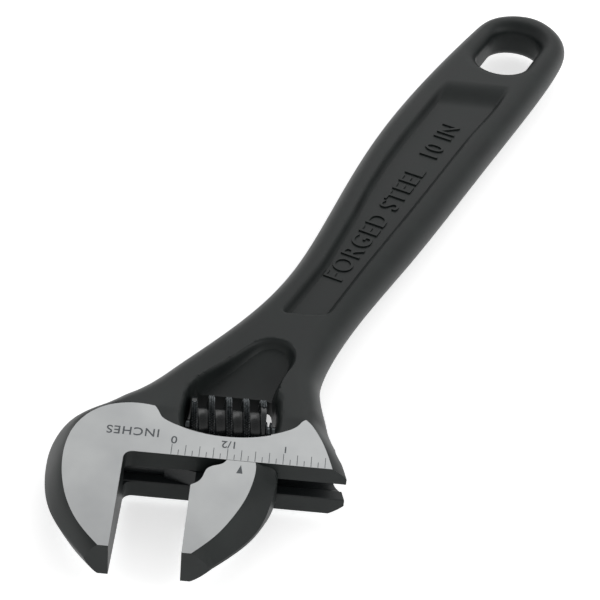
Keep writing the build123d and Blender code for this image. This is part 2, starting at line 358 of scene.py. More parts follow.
# a forging from two die halves: a plan shape with a height over the parting plane
def dieForging(name, outline, holes, creases, fillPoints, heightAt, groundLoops):
    points = []
    edges = []
    for path, closed in [(outline, True)] + [(hole, True) for hole in holes] + [(crease, False) for crease in creases]:
        first = len(points)
        points.extend(map(tuple, path))
        edges.extend((first + i, first + i + 1) for i in range(len(path) - 1))
        if closed:
            edges.append((first + len(path) - 1, first))
    points.extend(map(tuple, fillPoints))
    verts, _, faces, _, _, _ = delaunay_2d_cdt([Vector(p) for p in points], edges, [], 0, 1e-5)
    plan = np.array([tuple(v) for v in verts])
    tris = np.array(faces)
    middles = plan[tris].mean(1)
    keep = insideLoop(middles, outline)
    for hole in holes:
        keep &= ~insideLoop(middles, hole)
    tris = tris[keep]
    middles = middles[keep]
    cross = np.cross(plan[tris[:, 1]] - plan[tris[:, 0]], plan[tris[:, 2]] - plan[tris[:, 0]])
    tris[cross < 0] = tris[cross < 0][:, ::-1]
    height = heightAt(plan)
    count = len(plan)
    top = np.column_stack([plan, height])
    under = np.column_stack([plan, -height])
    isGround = np.zeros(len(tris), bool)
    for loop in groundLoops:
        isGround |= insideLoop(middles, loop)
    # walls stand on the edges that have a triangle on one side only
    halfEdges = np.concatenate([tris[:, [0, 1]], tris[:, [1, 2]], tris[:, [2, 0]]])
    seen = set(map(tuple, halfEdges))
    walls = [(i, j) for i, j in seen if (j, i) not in seen]
    allFaces = [tuple(t) for t in tris]
    allFaces += [tuple(t + count) for t in tris[:, ::-1]]
    allFaces += [(j, i, i + count, j + count) for i, j in walls]
    marks = [1 if g else 0 for g in isGround] * 2 + [0] * len(walls)
    mesh = bpy.data.meshes.new(name)
    mesh.from_pydata((np.concatenate([top, under]) * mm).tolist(), [], allFaces)
    mesh.materials.append(forging)
    mesh.materials.append(ground)
    mesh.materials.append(machined)
    mesh.polygons.foreach_set("material_index", marks)
    mesh.update()
    shape = bmesh.new()
    shape.from_mesh(mesh)
    bmesh.ops.remove_doubles(shape, verts=shape.verts, dist=2e-6)
    bmesh.ops.dissolve_degenerate(shape, dist=1e-7, edges=shape.edges)
    loose = [v for v in shape.verts if not v.link_faces]
    bmesh.ops.delete(shape, geom=loose, context="VERTS")
    shape.to_mesh(mesh)
    shape.free()
    piece = bpy.data.objects.new(name, mesh)
    bpy.context.scene.collection.objects.link(piece)
    print(name, "forged:", len(mesh.polygons), "faces")
    return piece


def gridPoints(low, high, spacing):
    xs = np.arange(low[0], high[0], spacing)
    ys = np.arange(low[1], high[1], spacing * 0.866)
    grid = np.array([(x + (row % 2) * spacing / 2, y) for row, y in enumerate(ys) for x in xs])
    return grid


# cutters and booleans
def meshObject(name, verts, faces, material=None):
    mesh = bpy.data.meshes.new(name)
    mesh.from_pydata([tuple(v) for v in verts], [], faces)
    if material:
        mesh.materials.append(material)
    mesh.validate()
    shape = bmesh.new()
    shape.from_mesh(mesh)
    bmesh.ops.recalc_face_normals(shape, faces=shape.faces)
    shape.to_mesh(mesh)
    shape.free()
    piece = bpy.data.objects.new(name, mesh)
    bpy.context.scene.collection.objects.link(piece)
    return piece


def slidePlace(a, b, z):  # a point in jaw coordinates and height, mm, to the frame in metres
    x, y = corner + across * a + deep * b
    return Vector((x, y, z)) * mm


def prismAlongSlide(name, profile, start, end, material=None):  # profile points are (deep, height)
    count = len(profile)
    verts = [slidePlace(at, b, z) for at in (start, end) for b, z in profile]
    faces = [tuple(range(count)), tuple(range(2 * count - 1, count - 1, -1))]
    faces += [(i, i + count, (i + 1) % count + count, (i + 1) % count) for i in range(count)]
    return meshObject(name, verts, faces, material)


def prismUpright(name, profile, low, high, material=None):  # profile points are (across, deep)
    count = len(profile)
    verts = [slidePlace(a, b, z) for z in (low, high) for a, b in profile]
    faces = [tuple(range(count)), tuple(range(2 * count - 1, count - 1, -1))]
    faces += [(i, i + count, (i + 1) % count + count, (i + 1) % count) for i in range(count)]
    return meshObject(name, verts, faces, material)


def circleProfile(b, radius, count):
    turns = [2 * math.pi * (i + 0.5) / count for i in range(count)]
    return [(b + radius * math.cos(t), radius * math.sin(t)) for t in turns]


def bakeModifiers(piece):
    graph = bpy.context.evaluated_depsgraph_get()
    graph.update()
    mesh = bpy.data.meshes.new_from_object(piece.evaluated_get(graph))
    old = piece.data
    piece.modifiers.clear()
    piece.data = mesh
    bpy.data.meshes.remove(old)


def booleanWith(piece, other, operation):
    step = piece.modifiers.new("cut", "BOOLEAN")
    step.operation = operation
    step.solver = "EXACT"
    step.object = other
    bakeModifiers(piece)
    data = other.data
    bpy.data.objects.remove(other)
    bpy.data.meshes.remove(data)


def shadeByAngle(piece, degrees):
    shape = bmesh.new()
    shape.from_mesh(piece.data)
    bmesh.ops.remove_doubles(shape, verts=shape.verts, dist=1e-6)
    bmesh.ops.dissolve_degenerate(shape, dist=1e-7, edges=shape.edges)
    limit = math.radians(degrees)
    for face in shape.faces:
        face.smooth = True
    for edge in shape.edges:
        if len(edge.link_faces) == 2:
            changed = edge.link_faces[0].material_index != edge.link_faces[1].material_index
            edge.smooth = edge.calc_face_angle(0) < limit and not changed
    shape.to_mesh(piece.data)
    shape.free()


# rail, bore, slot and worm: the sizes of the working parts, mm, in jaw coordinates
works = {
    "railDeep": 6.7,
    "railRadius": 4.6,
    "boreRadius": 4.66,
    "boreStart": -13.6,
    "slotStart": -7.2,
    "slotHalf": 2.4,
    "mouthChamfer": 0.22,
    "neckHalf": 2.25,
    "railStart": 3.0,
    "railEnd": 34.0,
    "wormDeep": 17.2,
    "wormStart": 13.4,
    "wormLength": 17.7,
    "coreRadius": 4.9,
    "lead": 4.05,
    "firstRidge": 14.25,
    "pinRadius": 1.62,
    "pinThreadRadius": 2.1,
    "pinStart": 8.6,
    "pinThreadStart": 36.0,
}


# body: handle, fixed jaw and lips
bodyShape = {
    "handleHalf": 5.9,
    "edgeRound": 6.1,  # the handle's edges are a full round of this width
    "shoulderFade": 16.0,
    "panelDepth": 2.3,
    "panelWall": 1.9,
    "panelRamp": 10.5,
    "panelEdge": [  # the recessed panel at the handle's face
        (73.3, -3.4), (84, -3.6), (97, -3.7), (109, -2.6), (121, -1.5), (134, 0.2), (148, 1.3), (162, 1.7), (178, 1.6),
        (194.6, 1.6), (200.9, -17.2), (186, -17.2), (170, -16.2), (151, -16.0), (127, -15.6), (102, -15.0),
        (78.6, -15.0),
    ],
    "panelCorner": 3.0,
    "holeMiddle": (219.6, -8.2),
    "holeLength": 26.4,
    "holeWidth": 15.4,
    "holeFlare": 4.2,
    "holeFlareDepth": 3.4,
    "scoopFloor": 2.0,
    "scoopRise": 2.3,
    "scoopWall": 1.7,
    "scoopEdge": [  # the thumb scoop's rim, in jaw coordinates
        (11.6, 19.5), (12.2, 24.6), (15.0, 29.2), (18.9, 33.6), (21.8, 37.0), (24.6, 40.6), (27.4, 43.6), (31.2, 44.8),
        (35.0, 43.4), (37.0, 39.6), (36.6, 35.4), (34.8, 31.4), (33.5, 26.5), (33.3, 21.0), (32.4, 17.0), (13.0, 17.0),
    ],
    "windowFlare": 1.7,
    "windowFlareDepth": 5.2,
    "lipBlock": 0.62,  # share of the lips' end that stands upright
    "grid": 0.75,
}


def bodyOutline(spacing):
    edge = smoothCurve(
        [
            jawPoint(2.0, -36),
            jawPoint(-7.5, -24.6),
            jawPoint(-14.7, -14.3),
            jawPoint(-17.7, -1),
            jawPoint(-15.3, 12.3),
            jawPoint(-2.3, 22.5),
            jawPoint(7.0, 33.5),
            (58.9, 7.4),
            (85, 3.0),
            (118, 4.7),
            (168, 9.1),
            (226, 6.5),
            (236, 3.9),
            (242.9, -8.2),
            (236, -20.3),
            (226, -22.9),
            (168, -22.5),
            (118, -21.2),
            (80, -19.8),
            (58.95, -22.4),
            jawPoint(43.5, 29),
            jawPoint(46.4, 15.5),
            jawPoint(50.1, 2),
            jawPoint(52.3, -6),
        ],
        spacing,
    )
    _, b = toJaw(edge)
    tip = np.argmax(b > -jawLayout["depth"])
    last = len(b) - 1 - np.argmax(b[::-1] > 0)
    share = (-jawLayout["depth"] - b[tip - 1]) / (b[tip] - b[tip - 1])
    tipPoint = edge[tip - 1] + (edge[tip] - edge[tip - 1]) * share
    share = (0 - b[last]) / (b[last + 1] - b[last])
    endPoint = edge[last] + (edge[last + 1] - edge[last]) * share
    outer = np.concatenate([[tipPoint], edge[tip:last + 1], [endPoint]])
    return edge, outer


def groundArea():  # the ground face on the body, seen in plan
    back = smoothCurve(
        [
            jawPoint(-2.3, -jawLayout["depth"]),
            jawPoint(-7.0, -22),
            jawPoint(-11.5, -13.5),
            jawPoint(-13.4, 0),
            jawPoint(-11.0, 8),
            jawPoint(-5.5, 13),
            jawPoint(2.0, 14.5),
            jawPoint(5.4, 14.1),
        ],
        0.8,
    )
    horn = smoothCurve([jawPoint(5.4, 14.1), jawPoint(6.4, 12.6), jawPoint(7.2, 11.1), jawPoint(9.0, 9.8)], 0.5)
    band = arcThrough(jawPoint(9.0, 9.8), jawPoint(23.1, 6.7), jawPoint(37.2, 10.7), 40)
    peak = smoothCurve([jawPoint(37.2, 10.7), jawPoint(38.8, 12.2), jawPoint(39.4, 13.2), jawPoint(40.3, 14.0)], 0.5)
    flank = smoothCurve([jawPoint(40.3, 14.0), jawPoint(41.2, 13.2), jawPoint(43.2, 10.2),
                         jawPoint(45.2, 6), jawPoint(47.2, 0)], 0.8)
    floorLine = straight(jawPoint(47.2, 0), jawPoint(2.0, 0), 1.5)
    fillet = arcThrough(jawPoint(2.0, 0), jawPoint(0.6, -0.6), jawPoint(0, -2.0), 8)
    face = straight(jawPoint(0, -2.0), jawPoint(0, -jawLayout["depth"]), 2.0)
    tipEnd = straight(jawPoint(0, -jawLayout["depth"]), jawPoint(-2.3, -jawLayout["depth"]), 0.8)
    return joinPaths(back, horn, band, peak, flank, floorLine, fillet, face, tipEnd)


def windowLoop():
    near = arcThrough(jawPoint(13.4, 8.35), jawPoint(23.1, 6.7), jawPoint(32.6, 8.35), 24)
    right = smoothCurve([jawPoint(32.6, 8.35), jawPoint(33.3, 11), jawPoint(33.3, 18),
                         jawPoint(32.9, 23), jawPoint(31.9, 25.5), jawPoint(30, 26.3)], 0.6)
    far = straight(jawPoint(30, 26.3), jawPoint(15.4, 26.3), 0.8)
    left = smoothCurve([jawPoint(15.4, 26.3), jawPoint(13.5, 25.4), jawPoint(12.7, 22),
                        jawPoint(12.6, 11), jawPoint(13.4, 8.35)], 0.6)
    return joinPaths(near, right, far, left)


def slotLoop(middle, length, width, count):
    reach = (length - width) / 2
    loop = []
    for side, start in ((1, -math.pi / 2), (-1, math.pi / 2)):
        for step in range(count + 1):
            turn = start + math.pi * step / count
            loop.append((middle[0] + side * reach + width / 2 * math.cos(turn), middle[1] + width / 2 * math.sin(turn)))
    return joinPaths(resample(np.array(loop + loop[:1]), 0.8))


def softLoop(points, cut):  # a polygon with every corner rounded by up to cut
    points = np.array(points, float)
    rounded = []
    for before, here, after in zip(np.roll(points, 1, axis=0), points, np.roll(points, -1, axis=0)):
        reach = min(cut, np.hypot(*(here - before)) / 2, np.hypot(*(after - here)) / 2)
        start = here + (before - here) / np.hypot(*(before - here)) * reach
        end = here + (after - here) / np.hypot(*(after - here)) * reach
        for share in np.linspace(0, 1, 7):
            rounded.append((1 - share) ** 2 * start + 2 * share * (1 - share) * here + share ** 2 * end)
    return resample(np.array(rounded + rounded[:1]), 0.8)[:-1]


def edgeProfile(inwards, room, width, roundPower):  # 0 at the parting line to 1 on top
    share = np.clip(inwards / np.minimum(room, width), 0, 1)
    roundness = easeStep((room - 4.5) / 4.0)
    outerPower = 1.22 + (roundPower - 1.22) * roundness
    innerPower = 1.12 + (roundPower - 1.12) * roundness
    return (1 - (1 - share) ** outerPower) ** (1 / innerPower)


def inwardDistance(points, loop):
    return np.where(insideLoop(points, loop), distanceTo(points, loop, True), 0.0)


def makeBody():
    size = bodyShape
    edge, outer = bodyOutline(0.8)
    area = groundArea()
    window = windowLoop()
    hangHole = slotLoop(size["holeMiddle"], size["holeLength"], size["holeWidth"], 16)
    inner = joinPaths(
        straight(outer[-1], jawPoint(2.0, 0), 1.2),
        arcThrough(jawPoint(2.0, 0), jawPoint(0.6, -0.6), jawPoint(0, -2.0), 8),
        straight(jawPoint(0, -2.0), jawPoint(0, -jawLayout["depth"]), 1.5),
        straight(jawPoint(0, -jawLayout["depth"]), outer[0], 0.6),
    )
    outline = joinPaths(outer, inner)

    panelLoop = softLoop(size["panelEdge"], size["panelCorner"])
    scoopLoop = softLoop([jawPoint(a, b) for a, b in size["scoopEdge"]], 9.0)

    def heightAt(points):
        a, b = toJaw(points)
        fromEdge = distanceTo(points, edge)
        inArea = insideLoop(points, area)
        fromArea = np.where(inArea, 0, distanceTo(points, area, True))
        onArea = inArea | (fromArea < 1e-4)
        wedge = wedgeTop(np.minimum(b, jawLayout["groundEnd"]))
        top = size["handleHalf"] + (wedge - size["handleHalf"]) * np.exp(-fromArea / size["shoulderFade"])
        # recessed panel along the handle, ramped at the hang hole's end
        panel = easeStep(inwardDistance(points, panelLoop) / size["panelWall"])
        _, rampEnd = toJaw(np.array(size["panelEdge"][10:11]))
        panel *= easeStep((rampEnd - b) / size["panelRamp"])
        top = top - size["panelDepth"] * panel
        # hang hole, rounded over into the face
        gap = np.clip(1 - distanceTo(points, hangHole, True) / size["holeFlare"], 0, 1)
        top -= size["holeFlareDepth"] * (1 - np.sqrt(1 - gap ** 2))
        # thumb scoop: a floor that climbs from the worm, with a steep wall round it
        floor = size["scoopFloor"] + size["scoopRise"] * np.clip((b - 26) / 18, 0, 1.3) ** 1.25
        wall = easeStep(inwardDistance(points, scoopLoop) / size["scoopWall"])
        top = top - (top - floor) * wall
        # the window's two ends flare outwards
        gap = np.clip(1 - distanceTo(points, window, True) / size["windowFlare"], 0, 1)
        beside = easeStep(np.abs(a - 23) - 9.5) * easeStep((25 - b) / 4)
        top -= size["windowFlareDepth"] * (1 - np.sqrt(1 - gap ** 2)) * beside
        block = size["lipBlock"] * easeStep((22 - b) / 20) * easeStep((a - 36) / 4)
        profile = edgeProfile(fromEdge, fromEdge + fromArea, size["edgeRound"], 2.0)
        return np.where(onArea, wedgeTop(b), top * (block + (1 - block) * profile))

    rings = steppedInwards(outer, [0.12, 0.35, 0.7, 1.2, 1.8, 2.5, 3.3])
    ringPoints = np.concatenate(rings)
    flare = np.concatenate(steppedInwards(hangHole, [0.1, 0.3, 0.7, 1.2, 1.9, 2.7, 3.5, 4.2], True))
    flare = np.concatenate([flare, *steppedInwards(window, [0.1, 0.3, 0.6, 1.0, 1.5], True)])
    wallRings = [*steppedInwards(panelLoop, [0, 0.35, 0.7, 1.05, 1.4, 1.9], True)]
    wallRings += [*steppedInwards(scoopLoop, [0, 0.3, 0.6, 0.9, 1.2, 1.7], True)]
    flare = np.concatenate([flare, *wallRings])
    grid = gridPoints(outline.min(0), outline.max(0), size["grid"])
    edgeGap = distanceTo(grid, edge)
    inArea = insideLoop(grid, area)
    keep = insideLoop(grid, outline) & (edgeGap > 3.8) & ~inArea
    keep &= ~insideLoop(grid, hangHole) & ~insideLoop(grid, window)
    keep &= (distanceTo(grid, area, True) > 0.35) & (distanceTo(grid, window, True) > 0.35)
    keep &= distanceTo(grid, hangHole, True) > 4.6
    keep &= (distanceTo(grid, panelLoop, True) > 2.2) | ~insideLoop(grid, panelLoop)
    keep &= (distanceTo(grid, scoopLoop, True) > 2.0) | ~insideLoop(grid, scoopLoop)
    keep &= distanceTo(grid, window, True) > 1.8
    fill = [grid[keep]]
    for cloud, clear in ((ringPoints, 0.05), (flare, 3.4)):
        good = insideLoop(cloud, outline) & ~insideLoop(cloud, hangHole) & ~insideLoop(cloud, window)
        good &= ~insideLoop(cloud, area) & (distanceTo(cloud, area, True) > 0.15)
        good &= distanceTo(cloud, outer) > clear
        fill.append(cloud[good])
    body = dieForging("forgedBody", outline, [window, hangHole], [np.concatenate([area, area[:1]])],
                      np.concatenate(fill), heightAt, [area])
    return body


body = makeBody()

# keyhole: the slot between the lips and the rail's bore behind it
reach = math.sqrt(works["boreRadius"] ** 2 - works["slotHalf"] ** 2)
start = math.pi - math.asin(works["slotHalf"] / works["boreRadius"])
mouth = works["slotHalf"] + works["mouthChamfer"]
keyhole = [(-3, -mouth), (-3, mouth), (0, mouth), (works["mouthChamfer"], works["slotHalf"])]
for step in range(49):
    turn = start - 2 * start * step / 48
    keyhole.append((works["railDeep"] + works["boreRadius"] * math.cos(turn), works["boreRadius"] * math.sin(turn)))
keyhole += [(works["mouthChamfer"], -works["slotHalf"]), (0, -mouth)]
booleanWith(body, prismAlongSlide("keyholeCutter", keyhole, 0.02, 70, machined), "DIFFERENCE")
pocket = [(0.05, -works["slotHalf"]), (0.05, works["slotHalf"])] + keyhole[4:-2]
booleanWith(body, prismAlongSlide("pocketCutter", pocket, works["slotStart"], 5, machined), "DIFFERENCE")
blindBore = circleProfile(works["railDeep"], works["boreRadius"], 48)
booleanWith(body, prismAlongSlide("boreCutter", blindBore, works["boreStart"], 5, machined), "DIFFERENCE")
pinBore = circleProfile(works["wormDeep"], works["pinRadius"] + 0.02, 32)
booleanWith(body, prismAlongSlide("pinCutter", pinBore, works["pinStart"] - 0.05, 40, machined), "DIFFERENCE")
pinBore = circleProfile(works["wormDeep"], works["pinThreadRadius"] + 0.02, 32)
booleanWith(body, prismAlongSlide("pinHeadCutter", pinBore, works["pinThreadStart"] - 0.05, 60, machined), "DIFFERENCE")
shadeByAngle(body, 32)
print("body cut:", len(body.data.polygons), "faces")


# movable jaw
def makeJaw():
    opening = jawLayout["opening"]
    depth = jawLayout["depth"]
    top = -jawLayout["floorGap"]
    edge = smoothCurve(
        [
            jawPoint(opening + 1.5, -32),
            jawPoint(opening + 9.6, -23.7),
            jawPoint(opening + 15.3, -16),
            jawPoint(opening + 18.1, -8),
            jawPoint(opening + 19.2, 0),
            jawPoint(opening + 19.4, 5),
        ],
        0.7,
    )
    _, b = toJaw(edge)
    first = np.argmax(b > -depth)
    last = len(b) - 1 - np.argmax(b[::-1] < top)
    share = (-depth - b[first - 1]) / (b[first] - b[first - 1])
    tipPoint = edge[first - 1] + (edge[first] - edge[first - 1]) * share
    share = (top - b[last]) / (b[last + 1] - b[last])
    endPoint = edge[last] + (edge[last + 1] - edge[last]) * share
    outer = np.concatenate([[tipPoint], edge[first:last + 1], [endPoint]])
    shoulder = smoothCurve(
        [
            jawPoint(opening + 7.4, top),
            jawPoint(opening + 6.6, -1.2),
            jawPoint(opening + 4.6, -2.1),
            jawPoint(opening + 3.2, -3.2),
            jawPoint(opening + 2.6, -5.0),
            jawPoint(opening + 1.8, -6.8),
            jawPoint(opening, -8.2),
        ],
        0.35,
    )
    inner = joinPaths(
        straight(endPoint, jawPoint(opening + 7.4, top), 0.8),
        shoulder,
        straight(jawPoint(opening, -8.2), jawPoint(opening, -depth), 1.2),
        straight(jawPoint(opening, -depth), tipPoint, 0.6),
    )
    outline = joinPaths(outer, inner)
    boundary = smoothCurve(
        [
            jawPoint(opening + 2.1, -depth),
            jawPoint(opening + 7.1, -21.5),
            jawPoint(opening + 9.8, -17),
            jawPoint(opening + 12.3, -11.5),
            jawPoint(opening + 13.9, -5),
            jawPoint(opening + 14.1, -1.2),
            jawPoint(opening + 13.9, top),
        ],
        0.7,
    )
    area = joinPaths(boundary, straight(boundary[-1], jawPoint(opening + 7.4, top), 0.8), shoulder,
                     straight(jawPoint(opening, -8.2), jawPoint(opening, -depth), 1.2),
                     straight(jawPoint(opening, -depth), jawPoint(opening + 2.1, -depth), 0.6))

    def heightAt(points):
        _, b = toJaw(points)
        fromEdge = distanceTo(points, edge)
        inArea = insideLoop(points, area)
        fromArea = np.where(inArea, 0, distanceTo(points, area, True))
        onArea = inArea | (fromArea < 1e-4)
        # upright and boxy beside the lips, running out to a bevel at the tip
        boxy = easeStep((b + 15) / 15)
        upright = 0.08 + 0.47 * boxy
        share = np.clip(fromEdge / (fromEdge + fromArea), 0, 1)
        profile = (1 - (1 - share) ** (1.22 - 0.2 * boxy)) ** (1 / (1.12 + 1.2 * boxy))
        return np.where(onArea, wedgeTop(b), wedgeTop(b) * (upright + (1 - upright) * profile))

    rings = np.concatenate(steppedInwards(outer, [0.12, 0.35, 0.7, 1.2, 1.8, 2.5, 3.2, 3.9, 4.5]))
    good = insideLoop(rings, outline) & ~insideLoop(rings, area) & (distanceTo(rings, area, True) > 0.12)
    jaw = dieForging("movableJaw", outline, [], [np.concatenate([area, area[:1]])], rings[good], heightAt, [area])
    neck = prismUpright(
        "neck",
        [
            (opening + 0.6, -9),
            (opening + 12, -9),
            (opening + 18.4, -1),
            (opening + 18.4, works["railDeep"]),
            (opening - 6.8, works["railDeep"]),
            (opening - 6.8, 1.8),
            (opening + 0.6, -0.1),
        ],
        -works["neckHalf"],
        works["neckHalf"],
        machined,
    )
    rail = prismAlongSlide("rail", circleProfile(works["railDeep"], works["railRadius"], 64), works["railStart"],
                           works["railEnd"], machined)
    booleanWith(neck, rail, "UNION")
    # rack teeth across the side of the rail that faces the worm
    railTop = works["railDeep"] + works["railRadius"]
    gap = works["firstRidge"] + works["lead"] / 4 - 3 * works["lead"]
    while gap < works["railEnd"]:
        profile = [(gap - 0.875, railTop - 1.9), (gap + 0.875, railTop - 1.9),
                   (gap + 1.6, railTop + 1), (gap - 1.6, railTop + 1)]
        booleanWith(neck, prismUpright("rackCutter", profile, -8, 8, machined), "DIFFERENCE")
        gap += works["lead"]
    booleanWith(jaw, neck, "UNION")
    shadeByAngle(jaw, 32)
    return jaw


jaw = makeJaw()
print("movable jaw made:", len(jaw.data.polygons), "faces")


# worm
def wormPlace():  # from the worm's own axis (+Z along the slide, +X deep) to the frame
    turn = Matrix(((deep[0], 0, across[0]), (deep[1], 0, across[1]), (0, 1, 0))).to_4x4()
    return Matrix.Translation(slidePlace(works["wormStart"], works["wormDeep"], 0)) @ turn


wormShape = {
    "aroundSteps": 144,
    "ridgeTop": 7.15,  # the knurl stands on this
    "crestHalf": 0.66,
    "rootHalf": 0.95,
    "knurlPerTurn": 80,
    "knurlRise": 0.42,
    "knurlBase": 0.31,
    "knurlRows": (-0.44, 0.0, 0.44),
}


def makeWorm():
    size = wormShape
    lead = works["lead"]
    core = works["coreRadius"]
    # (share of the lead from the ridge's middle, radius): one ridge with softened edges
    edgeStops = [
        (-size["rootHalf"] - 0.25, core),
        (-size["rootHalf"], core + 0.12),
        (-size["crestHalf"] - 0.03, size["ridgeTop"] - 0.12),
        (-size["crestHalf"] + 0.12, size["ridgeTop"]),
        (0.0, size["ridgeTop"]),
        (size["crestHalf"] - 0.12, size["ridgeTop"]),
        (size["crestHalf"] + 0.03, size["ridgeTop"] - 0.12),
        (size["rootHalf"], core + 0.12),
        (size["rootHalf"] + 0.25, core),
        (lead / 2, core),
    ]
    perTurn = len(edgeStops)
    turns = 8
    steps = size["aroundSteps"]
    # the ridge crosses the top of the worm at firstRidge
    base = works["firstRidge"] - works["wormStart"] - lead / 4 - 2 * lead
    verts = []
    for line in range(perTurn * turns):
        turnCount, stop = divmod(line, perTurn)
        offset, radius = edgeStops[stop]
        for step in range(steps):
            angle = 2 * math.pi * step / steps
            verts.append((radius * math.cos(angle), radius * math.sin(angle),
                          base + turnCount * lead + offset + lead * step / steps))
    lines = perTurn * turns
    faces = []
    for line in range(lines - 1):
        for step in range(steps):
            if step < steps - 1:
                faces.append((line * steps + step, line * steps + step + 1, (line + 1) * steps + step + 1,
                              (line + 1) * steps + step))
            elif line + 1 + perTurn < lines:
                faces.append((line * steps + step, (line + perTurn) * steps, (line + 1 + perTurn) * steps,
                              (line + 1) * steps + step))
    place = wormPlace()
    mesh = bpy.data.meshes.new("wormThread")
    mesh.from_pydata([tuple(Vector(v) * mm) for v in verts], [], faces)
    shape = bmesh.new()
    shape.from_mesh(mesh)
    rims = [edge for edge in shape.edges if len(edge.link_faces) == 1]
    bmesh.ops.holes_fill(shape, edges=rims, sides=0)
    bmesh.ops.triangulate(shape, faces=[f for f in shape.faces if len(f.verts) > 4])
    bmesh.ops.recalc_face_normals(shape, faces=shape.faces)
    shape.to_mesh(mesh)
    shape.free()
    mesh.materials.append(oxide)
    worm = bpy.data.objects.new("wormThread", mesh)
    bpy.context.scene.collection.objects.link(worm)
    mesh.transform(place)
    # cut to length, bored for the pin, with a pocket for the spring
    blank = circleProfile(works["wormDeep"], 9.0, 64)
    end = works["wormStart"] + works["wormLength"]
    booleanWith(worm, prismAlongSlide("wormBlank", blank, works["wormStart"], end, oxide), "INTERSECT")
    bore = circleProfile(works["wormDeep"], 1.7, 32)
    booleanWith(worm, prismAlongSlide("wormBore", bore, works["wormStart"] - 1, end + 1, oxide), "DIFFERENCE")
    pocket = circleProfile(works["wormDeep"], 3.1, 40)
    booleanWith(worm, prismAlongSlide("springPocket", pocket, end - 4.8, end + 1, oxide), "DIFFERENCE")
    shadeByAngle(worm, 35)
    return worm


worm = makeWorm()
print("worm made:", len(worm.data.polygons), "faces")


def nodeGroup(name, inputs):  # an empty geometry tree with named inputs
    tree = bpy.data.node_groups.new(name, "GeometryNodeTree")
    tree.interface.new_socket("Geometry", in_out="OUTPUT", socket_type="NodeSocketGeometry")
    for label, (kind, value) in inputs.items():
        socket = tree.interface.new_socket(label, in_out="INPUT", socket_type=kind)
        if kind != "NodeSocketMaterial":
            socket.default_value = value
    return tree


def growMesh(name, tree, values):  # runs a geometry tree on an empty mesh and returns a plain mesh object
    carrier = bpy.data.objects.new(name, bpy.data.meshes.new(name))
    bpy.context.scene.collection.objects.link(carrier)
    step = carrier.modifiers.new("grow", "NODES")
    step.node_group = tree
    for item in tree.interface.items_tree:
        if item.in_out == "INPUT" and item.name in values:
            step[item.identifier] = values[item.name]
    bakeModifiers(carrier)
    return carrier


# Knurl: small square-based pyramids in three rows that follow the ridge's crest.
def knurlTree():
    tree = nodeGroup("knurlOnRidge", {
        "Turns": ("NodeSocketFloat", 4.0),
        "Radius": ("NodeSocketFloat", 7.1 * mm),
        "Height": ("NodeSocketFloat", 16 * mm),
        "Count": ("NodeSocketInt", 200),
        "Base": ("NodeSocketFloat", 0.4 * mm),
        "Rise": ("NodeSocketFloat", 0.25 * mm),
        "Material": ("NodeSocketMaterial", None),
    })
    given = addNode(tree, "NodeGroupInput").outputs
    spiral = addNode(tree, "GeometryNodeCurveSpiral", {"Resolution": 64, "Reverse": True}, {
        "Rotations": given["Turns"], "Start Radius": given["Radius"], "End Radius": given["Radius"],
        "Height": given["Height"]})
    path = addNode(tree, "GeometryNodeResampleCurve", links={"Curve": spiral.outputs["Curve"], "Count": given["Count"]})
    tooth = addNode(tree, "GeometryNodeMeshCone", {"Vertices": 4, "Fill Segments": 1}, {
        "Radius Bottom": given["Base"], "Depth": given["Rise"]})
    narrow = addNode(tree, "ShaderNodeMath", {"operation": "MULTIPLY", 1: 0.3}, {0: given["Base"]})
    tree.links.new(narrow.outputs[0], tooth.inputs["Radius Top"])
    place = addNode(tree, "GeometryNodeInputPosition")
    outward = addNode(tree, "ShaderNodeVectorMath", {"operation": "MULTIPLY", 1: (1, 1, 0)}, {0: place.outputs[0]})
    stand = addNode(tree, "FunctionNodeAlignEulerToVector", {"axis": "Z"}, {"Vector": outward.outputs[0]})
    along = addNode(tree, "FunctionNodeAlignEulerToVector", {"axis": "X", "pivot_axis": "Z", "Vector": (0, 0, 1)},
                    {"Rotation": stand.outputs[0]})
    teeth = addNode(tree, "GeometryNodeInstanceOnPoints", links={
        "Points": path.outputs["Curve"], "Instance": tooth.outputs["Mesh"], "Rotation": along.outputs[0]})
    real = addNode(tree, "GeometryNodeRealizeInstances", links={"Geometry": teeth.outputs[0]})
    paint = addNode(tree, "GeometryNodeSetMaterial", links={"Geometry": real.outputs[0], "Material": given["Material"]})
    addNode(tree, "NodeGroupOutput", links={"Geometry": paint.outputs[0]})
    return tree


# Spring: round wire swept along a spiral.
def springTree():
    tree = nodeGroup("springCoil", {
        "Turns": ("NodeSocketFloat", 5.0),
        "Radius": ("NodeSocketFloat", 2.4 * mm),
        "Height": ("NodeSocketFloat", 6.0 * mm),
        "Wire": ("NodeSocketFloat", 0.3 * mm),
        "Material": ("NodeSocketMaterial", None),
    })
    given = addNode(tree, "NodeGroupInput").outputs
    spiral = addNode(tree, "GeometryNodeCurveSpiral", {"Resolution": 40, "Reverse": True}, {
        "Rotations": given["Turns"], "Start Radius": given["Radius"], "End Radius": given["Radius"],
        "Height": given["Height"]})
    section = addNode(tree, "GeometryNodeCurvePrimitiveCircle", {"Resolution": 12}, {"Radius": given["Wire"]})
    wire = addNode(tree, "GeometryNodeCurveToMesh", {"Fill Caps": True}, {
        "Curve": spiral.outputs["Curve"], "Profile Curve": section.outputs["Curve"]})
    smooth = addNode(tree, "GeometryNodeSetShadeSmooth", links={"Geometry": wire.outputs["Mesh"]})
    real = addNode(tree, "GeometryNodeRealizeInstances", links={"Geometry": smooth.outputs[0]})
    paint = addNode(tree, "GeometryNodeSetMaterial", links={"Geometry": real.outputs[0], "Material": given["Material"]})
    addNode(tree, "NodeGroupOutput", links={"Geometry": paint.outputs[0]})
    return tree


springShape = {"wire": 0.25, "radius": 2.45, "turns": 5.6, "start": 26.65, "end": 32.75}


